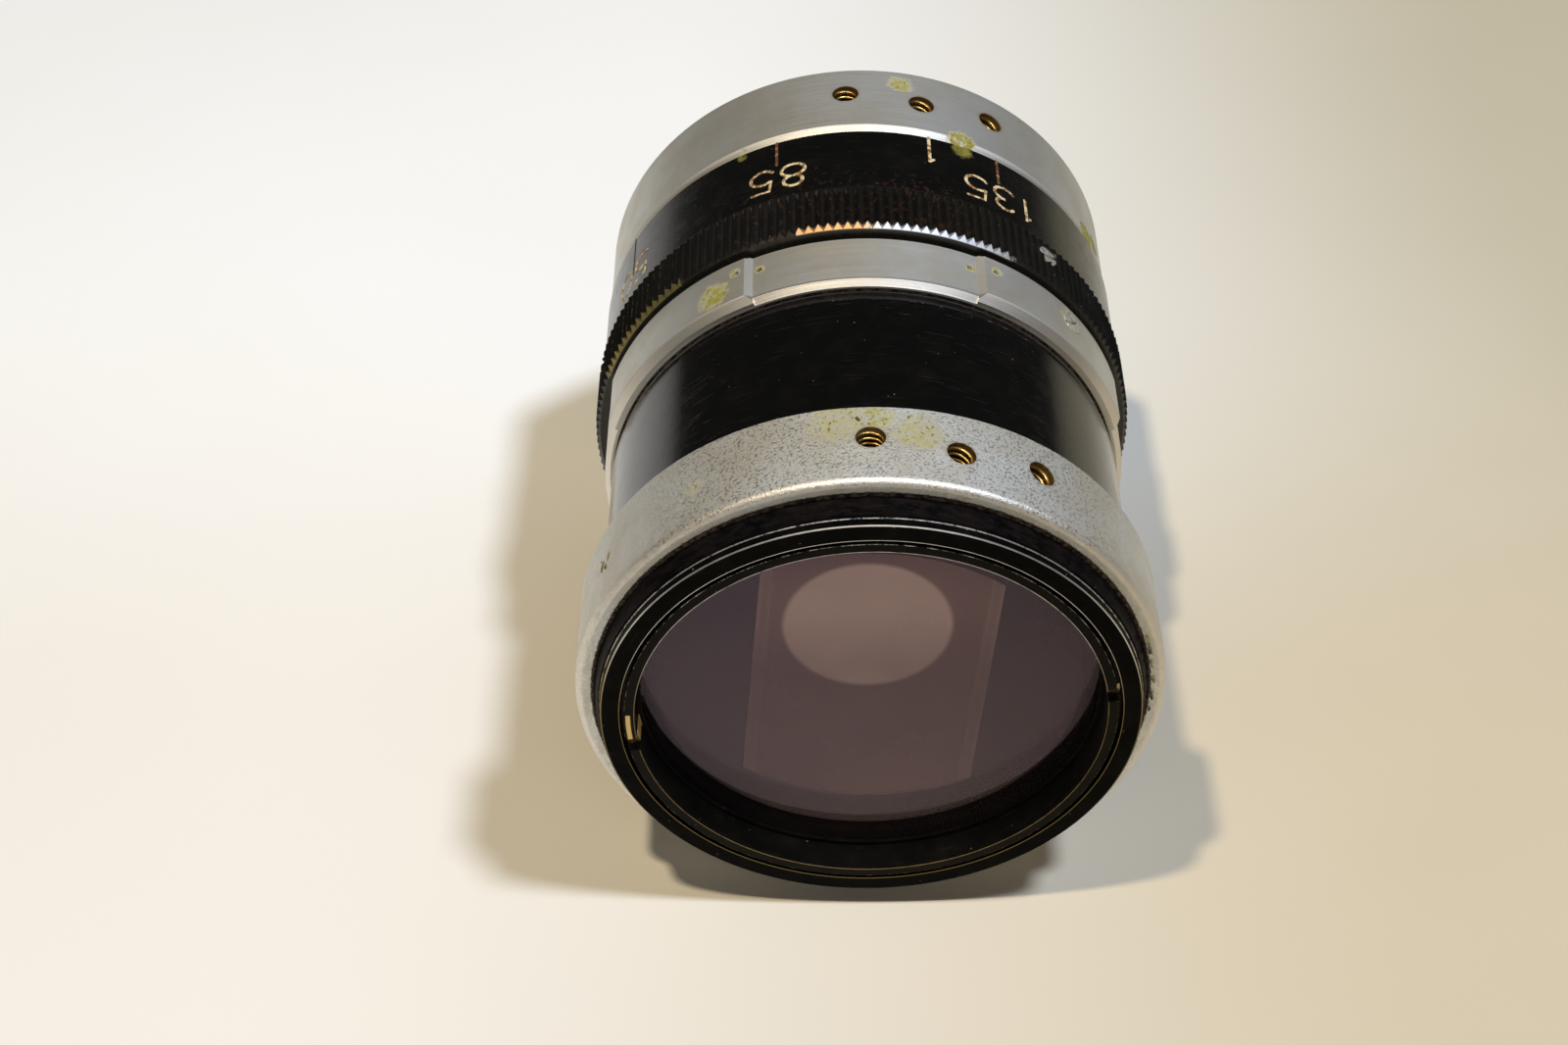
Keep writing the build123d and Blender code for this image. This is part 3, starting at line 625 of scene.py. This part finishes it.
def digit_strokes(digit, width, height):
    """Centre lines of one engraved figure, with its lower left corner at 0, 0."""
    w, h = width, height
    mid = w / 2
    if digit == "0":
        return [arc((mid, h / 2), mid, h / 2, 0, 360, 28)]
    if digit == "1":
        return [[(0, h * 0.80), (w * 0.45, h), (w * 0.45, 0)]]
    if digit == "3":
        upper = arc((mid, h * 0.76), mid * 0.86, h * 0.24, 150, -90)
        lower = arc((mid, h * 0.27), mid, h * 0.27, 90, -150)
        return [upper + lower]
    if digit == "5":
        bowl = arc((mid * 0.92, h * 0.31), mid * 1.05, h * 0.31, 130, -145, 20)
        return [[(w * 0.92, h), (w * 0.16, h), (w * 0.10, h * 0.53)] + bowl]
    if digit == "8":
        return [arc((mid, h * 0.76), mid * 0.80, h * 0.24, -90, 270, 24),
                arc((mid, h * 0.26), mid, h * 0.27, 90, 450, 26)]
    raise ValueError(digit)


def add_stroke(bm, points, width, place):
    """A round-ended, slightly domed stroke along points. place maps (u, v, height) to a point in space."""
    half = width / 2
    directions = []
    for i, point in enumerate(points):
        before, after = points[max(i - 1, 0)], points[min(i + 1, len(points) - 1)]
        length = ((after[0] - before[0]) ** 2 + (after[1] - before[1]) ** 2) ** 0.5 or 1.0
        directions.append(((after[0] - before[0]) / length, (after[1] - before[1]) / length))
    profile = [(-1.0, 0.0), (-0.8, 0.6), (-0.35, 0.95), (0.35, 0.95), (0.8, 0.6), (1.0, 0.0)]
    stations = []
    for step in (1.0, 0.7, 0.3):
        spread = (1 - step**2) ** 0.5
        stations.append((0, -step * half, spread))
    stations += [(i, 0.0, 1.0) for i in range(len(points))]
    for step in (0.3, 0.7, 1.0):
        spread = (1 - step**2) ** 0.5
        stations.append((len(points) - 1, step * half, spread))
    rows = []
    for index, ahead, spread in stations:
        (u, v), (du, dv) = points[index], directions[index]
        row = []
        for side, height in profile:
            offset = side * half * max(spread, 0.02)
            row.append(bm.verts.new(place(u + du * ahead - dv * offset, v + dv * ahead + du * offset,
                                          height * max(spread, 0.02))))
        rows.append(row)
    for first, second in zip(rows, rows[1:]):
        for a, b, c, d in zip(first, first[1:], second[1:], second):
            bm.faces.new((a, d, c, b))
        bm.faces.new((first[0], first[-1], second[-1], second[0]))
    bm.faces.new(rows[0])
    bm.faces.new(list(reversed(rows[-1])))


FIGURE_HEIGHT = 2.55
FIGURE_WIDTH = 1.75
ONE_WIDTH = 0.75
FIGURE_GAP = 0.62
FIGURE_FOOT_Y = 36.65
TICK_REAR_Y = 39.75
TICK_LENGTH = 2.75
STROKE = 0.30
FILL_ROOT_R = BAND_R - 0.01      # the engraving's paint starts just under the surface
FILL_HEIGHT = 0.035


def engraved_number(text, theta, material):
    """A figure on the scale band that reads upright from the eyepiece's end."""
    bm = bmesh.new()
    widths = [ONE_WIDTH if c == "1" else FIGURE_WIDTH for c in text]
    start = -(sum(widths) + FIGURE_GAP * (len(text) - 1)) / 2

    def place(u, v, height):
        turn = degrees((start + u) / BAND_R)
        return on_barrel(theta - turn, FIGURE_FOOT_Y - v, FILL_ROOT_R + FILL_HEIGHT * height)

    for digit, width in zip(text, widths):
        for stroke in digit_strokes(digit, width, FIGURE_HEIGHT):
            add_stroke(bm, stroke, STROKE, place)
        start += width + FIGURE_GAP
    bmesh.ops.recalc_face_normals(bm, faces=bm.faces)
    return add_piece(f"scale_number_{text}", bm, material, "zoom")


def scale_tick(name, theta, length, material, width=0.24, flag=0.0):
    """A line from the scale band's rear edge forwards. flag adds a short serif at its front end."""
    bm = bmesh.new()

    def place(u, v, height):
        return on_barrel(theta - degrees(u / BAND_R), TICK_REAR_Y - v, FILL_ROOT_R + FILL_HEIGHT * height)

    add_stroke(bm, [(0, 0), (0, length / 2), (0, length)], width, place)
    if flag:
        add_stroke(bm, [(0, length), (-flag, length * 0.9)], width, place)
    bmesh.ops.recalc_face_normals(bm, faces=bm.faces)
    return add_piece(name, bm, material, "zoom")


def screw_threads(name, row, surface_r, material):
    """The M2 threads of a row of three tapped holes, as one triangular ridge that winds down each."""
    pitch, crest, steps = 0.4, 0.16, 28
    bm = bmesh.new()
    for theta, y in hole_places(row):
        outward = on_barrel(theta, 0, 1) / MM
        tangent = Vector((cos(radians(theta)), 0, -sin(radians(theta))))
        axis = Vector((0, 1, 0))
        floor_r = surface_r - HOLE_DEPTH + 0.05
        turns = (HOLE_DEPTH - 0.35) / pitch - 0.5
        count = int(turns * steps)
        rows = []
        for i in range(count + 1):
            angle = 2 * pi * i / steps
            climb = floor_r + pitch * i / steps
            taper = min(1.0, 0.15 + i / steps, 0.15 + (count - i) / steps)
            around = tangent * cos(angle) + axis * sin(angle)
            section = [(HOLE_R - 0.004, 0.0), (HOLE_R - 0.004, pitch * 0.84),
                       (HOLE_R - crest * taper, pitch * 0.52), (HOLE_R - crest * taper, pitch * 0.32)]
            rows.append([bm.verts.new((outward * (climb + up) + axis * y + around * out) * MM)
                         for out, up in section])
        for first, second in zip(rows, rows[1:]):
            for k in range(4):
                bm.faces.new((first[k], first[(k + 1) % 4], second[(k + 1) % 4], second[k]))
        bm.faces.new(rows[0])
        bm.faces.new(list(reversed(rows[-1])))
    bmesh.ops.recalc_face_normals(bm, faces=bm.faces)
    return add_piece(name, bm, material, "body")


def grease_crumbs(material):
    """Crumbs of old grease along the front ring's shoulder, at (theta, y, radius, size, stretch)."""
    crumbs = [
        (-63.5, 5.6, 19.70, 0.24, 2.4), (-62.0, 5.2, 19.72, 0.20, 1.3), (-61.0, 5.9, 19.70, 0.16, 2.8),
        (-64.5, 6.4, 19.68, 0.14, 1.2), (-30.0, 8.9, 19.68, 0.10, 2.0), (-24.0, 9.0, 19.68, 0.09, 1.5),
        (-4.5, 8.6, 19.68, 0.12, 1.6), (-3.2, 7.9, 19.70, 0.15, 2.2), (9.5, 7.4, 19.70, 0.10, 1.2),
        (72.0, 2.0, 18.90, 0.22, 2.2), (75.5, 2.0, 18.85, 0.26, 1.6), (79.0, 2.0, 18.80, 0.17, 2.6),
        (84.0, 2.0, 18.85, 0.20, 1.4), (88.5, 2.0, 18.80, 0.24, 2.0), (93.0, 2.0, 18.80, 0.16, 1.3),
    ]
    bm = bmesh.new()
    for theta, y, radius, size, stretch in crumbs:
        start = len(bm.verts)
        bmesh.ops.create_icosphere(bm, subdivisions=2, radius=size * MM)
        bm.verts.ensure_lookup_table()
        turn = Matrix.Rotation(radians(theta), 4, "Y") @ Matrix.Rotation(random.uniform(-1, 1), 4, "Z")
        for vertex in bm.verts[start:]:
            lump = vertex.co * random.uniform(0.72, 1.12)
            lump.y *= stretch
            lump.z *= 0.55
            vertex.co = turn @ lump + on_barrel(theta, y, radius)
    return add_piece("grease_crumbs", bm, material, "body")


# ---- Light, floor and camera --------------------------------------------------------------------------

def add_camera():
    """A hand-held close view from above the front, level, with the barrel's axis straight ahead."""
    camera = bpy.data.objects.new("camera", bpy.data.cameras.new("camera"))
    bpy.context.scene.collection.objects.link(camera)
    camera.data.sensor_width = 36.0
    camera.data.lens = 56.25
    camera.data.clip_start = 0.001
    right = Vector((1.0, 0.0006, 0.0)).normalized()
    ahead = Vector((-0.00043, 0.72253, -0.69134)).normalized()
    up = right.cross(ahead)
    turn = Matrix((right, up, -ahead)).transposed()
    place = Vector((-5.700, -108.305, 121.884)) * MM
    camera.matrix_world = Matrix.Translation(place) @ turn.to_4x4()
    bpy.context.scene.camera = camera


def add_lamp(name, place, width, height, power, colour, aim=(0, 20, 0)):
    light = bpy.data.lights.new(name, "AREA")
    light.shape = "ELLIPSE"
    light.size = width * MM
    light.size_y = height * MM
    light.energy = power
    light.color = colour
    lamp = bpy.data.objects.new(name, light)
    bpy.context.scene.collection.objects.link(lamp)
    lamp.location = Vector(place) * MM
    direction = Vector(aim) * MM - lamp.location
    lamp.rotation_euler = direction.to_track_quat("-Z", "Y").to_euler()


def add_light():
    """A cool lamp to the right, a smaller warm one to the left, and a long dim one behind the camera."""
    add_lamp("lamp_cool", (205, -57, 552), 74, 74, 1.98, (1.0, 1.10, 1.30))
    add_lamp("lamp_warm", (-147, -95, 563), 35, 35, 1.88, (1.0, 0.84, 0.60))
    add_lamp("lamp_front", (0, -340, 330), 520, 70, 0.21, (1.0, 0.94, 0.88))
    world = bpy.data.worlds.new("room")
    world.use_nodes = True
    backdrop = world.node_tree.nodes["Background"]
    backdrop.inputs["Color"].default_value = (1.0, 0.95, 0.88, 1)
    backdrop.inputs["Strength"].default_value = 0.035
    bpy.context.scene.world = world
    bpy.context.scene.view_settings.view_transform = "Standard"


def add_floor():
    size = 0.6
    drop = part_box("zoom_ring")[0].z - 0.02 * MM
    bm = bmesh.new()
    bmesh.ops.create_grid(bm, x_segments=8, y_segments=8, size=size)
    mesh = bpy.data.meshes.new("floor")
    bm.to_mesh(mesh)
    bm.free()
    floor = bpy.data.objects.new("floor", mesh)
    floor.location = (0, 0.02, drop)
    bpy.context.scene.collection.objects.link(floor)
    mesh.materials.append(plain_floor("pale_card"))


# ---- Putting it together ------------------------------------------------------------------------------

def dress_nodes():
    """Gives every CAD node its material."""
    front_holes, rear_holes = hole_places(FRONT_HOLES), hole_places(REAR_HOLES)
    looks = {
        "front_ring": satin_chrome(
            "chrome_front", FRONT_RING_R, blasted=True, holes=front_holes,
            stains=[(-7, 7.8, 2.4, 0.75), (7.5, 6.9, 2.0, 0.85), (0.5, 8.1, 1.5, 0.9),
                    (-36, 5.5, 0.9, 0.6)],
            worn_edges=[(19.6, 2.2, 0.5)],
            seams=[(18.3, 2.1, 0.72), (19.73, 9.2, 0.2)],
        ),
        "middle_ring": satin_chrome(
            "chrome_middle", LAND_R, blasted=False,
            stains=[(-33.8, 25.0, 1.5, 1.3), (-28.5, 26.4, 0.55, 1.2), (-23.3, 26.3, 0.5, 1.1),
                    (22.2, 26.3, 0.5, 1.1), (27.8, 26.4, 0.55, 1.2), (48.9, 26.2, 1.3, 1.1)],
            worn_edges=[(18.7, 23.2, 0.4), (19.0, 23.3, 0.4)],
            seams=[(18.15, 23.0, 0.2), (19.2, 27.8, 0.2)],
        ),
        "rear_ring": satin_chrome(
            "chrome_rear", REAR_RING_R, blasted=False, holes=rear_holes,
            stains=[(22, 40.7, 1.3, 1.6), (-27, 40.3, 0.6, 0.8), (8.5, 46.3, 1.2, 1.0),
                    (62.5, 41.4, 1.3, 2.2), (68, 42.2, 1.1, 2.0)],
            worn_edges=[(18.95, 40.5, 0.55)],
            seams=[(18.5, 40.1, 0.2)],
        ),
        "front_bezel": black_enamel(
            "enamel_bezel", gloss=0.17, specular=0.02, sheen=(1.0, 0.88, 0.66),
            worn=[(17.93, 0.07, 0.09, 0.80), (18.03, 0.62, 0.10, 0.56), (16.7, 0.0, 0.07, 0.70)],
            dust=0.7, rubbed=[(0.7, 2.1, 1.0)],
        ),
        "front_retaining_ring": black_enamel(
            "enamel_retainer", gloss=0.2, specular=0.06, sheen=(1.0, 0.86, 0.6),
            worn=[(15.7, 0.0, 0.08, 0.62), (16.38, 0.0, 0.08, 0.5)],
            patches=[(-97.5, -88, 15.95, 16.3, 1.0), (79, 83.2, 15.6, 16.6, 0.75),
                     (-100.7, -96.3, 15.6, 16.6, 0.75)],
            dust=0.6,
        ),
        "front_barrel": black_enamel(
            "enamel_barrel", gloss=0.12, worn=[(18.3, 21.9, 0.2, 0.45)], dust=0.4,
            rubbed=[(21.9, 23.2, 1.0)],
        ),
        "zoom_ring": black_enamel(
            "enamel_zoom", gloss=0.2, worn=[(19.5, 39.85, 0.15, 0.5)], knurl=True,
            stains=[(21.5, 39.3, 1.0, 0.8), (-27, 39.4, 0.5, 0.6)],
        ),
        "eyepiece_cap": black_enamel("enamel_cap", worn=[(13.6, 53.1, 0.4, 0.9), (17.2, 49.4, 0.3, 0.7)]),
        "eyepiece_cell": black_enamel("enamel_cell", worn=[(18.4, 49.0, 0.3, 0.9)]),
        "main_tube": turned_brass("brass_tube"),
        "cam_sleeve": turned_brass("brass_sleeve"),
        "middle_ring_screws": bright_steel("steel_ring_screws"),
        "zoom_ring_screws": bright_steel("steel_grub_screws"),
        "rear_ring_screws": bright_steel("steel_rear_screws"),
        "stop_pin": bright_steel("steel_stop_pin"),
        "variator_pins": bright_steel("steel_variator_pins"),
        "compensator_pins": bright_steel("steel_compensator_pins"),
        "objective_lens": hazy_glass(
            "glass_objective", (0.93, 0.90, 0.96), srgb(128, 113, 112), objective_dust_and_shadow,
            layers=[(objective_rim, (0.008, 0.008, 0.008), 0.0)],
        ),
        # The prism's open port is painted bright with a painted glow, and its ground side bands carry
        # painted highlight lines
        "erecting_prism": hazy_glass(
            "glass_prism", (0.96, 0.90, 0.86), srgb(226, 182, 150), prism_dust,
            layers=[(prism_sides, srgb(214, 198, 176), 0.0), (prism_back, NEARLY_BLACK, 0.0),
                    (prism_port_glow, srgb(250, 226, 200), 0.18), (prism_ends, NEARLY_BLACK, 0.0)],
        ),
        "variator_lens": hazy_glass(
            "glass_variator", (0.95, 0.90, 0.88), srgb(215, 178, 158), rear_haze,
        ),
    }
    for node in ("compensator_lens", "eyepiece_front_lens", "eyepiece_rear_lens"):
        looks[node] = hazy_glass(f"glass_{node}", (0.95, 0.93, 0.93), srgb(160, 145, 140), thin_haze)
    for node in ("variator_cell", "variator_retaining_ring", "compensator_cell",
                 "compensator_retaining_ring", "prism_retaining_ring", "prism_cage", "field_mask",
                 "eyepiece_spacer", "eyepiece_retaining_ring"):
        looks[node] = matt_black(f"blackened_{node}")
    for node, material in looks.items():
        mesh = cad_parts[node].data
        mesh.materials.clear()
        mesh.materials.append(material)
    missing = set(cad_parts) - set(looks)
    if missing:
        raise RuntimeError(f"no look for {sorted(missing)}")


def add_markings():
    cream = engraving_paint("paint_cream", srgb(222, 205, 160), srgb(120, 82, 40))
    worn = engraving_paint("paint_worn", srgb(176, 142, 96), srgb(92, 52, 26), worn_at=0.5)
    dark = engraving_paint("paint_dark", srgb(120, 70, 50), srgb(40, 24, 18), worn_at=0.5)
    engraved_number("85", -18.8, cream)
    engraved_number("135", 29.9, cream)
    engraved_number("50", -60.3, cream)
    engraved_number("35", -100.0, cream)
    scale_tick("scale_tick_85", -18.9, TICK_LENGTH, worn)
    scale_tick("scale_tick_135", 30.1, TICK_LENGTH, worn)
    scale_tick("scale_tick_100", 14.0, 2.9, cream, width=0.28, flag=0.3)
    scale_tick("scale_tick_50", -60.3, 4.2, dark)
    scale_tick("scale_tick_35", -100.0, TICK_LENGTH, worn)


def add_crumbs():
    paint = Paint("dried_grease")
    mottle = paint.noise(3.0, 4, 0.7)
    base = paint.mix(mottle.fade(0.35, 0.65), (0.05, 0.038, 0.014), (0.22, 0.19, 0.07))
    shader = paint.principled(
        base_color=base, roughness=mottle * 0.3 + 0.4, normal=paint.bump(mottle, 0.05)
    )
    grease_crumbs(paint.finish(shader))


def add_threads():
    brass = turned_brass("brass_threads", THREAD_BRASS)
    screw_threads("foot_threads_front", FRONT_HOLES, FRONT_RING_R, brass)
    screw_threads("foot_threads_rear", REAR_HOLES, REAR_RING_R, brass)


random.seed(7)
add_camera()
add_light()
add_floor()
dress_nodes()
add_markings()
add_threads()
add_crumbs()
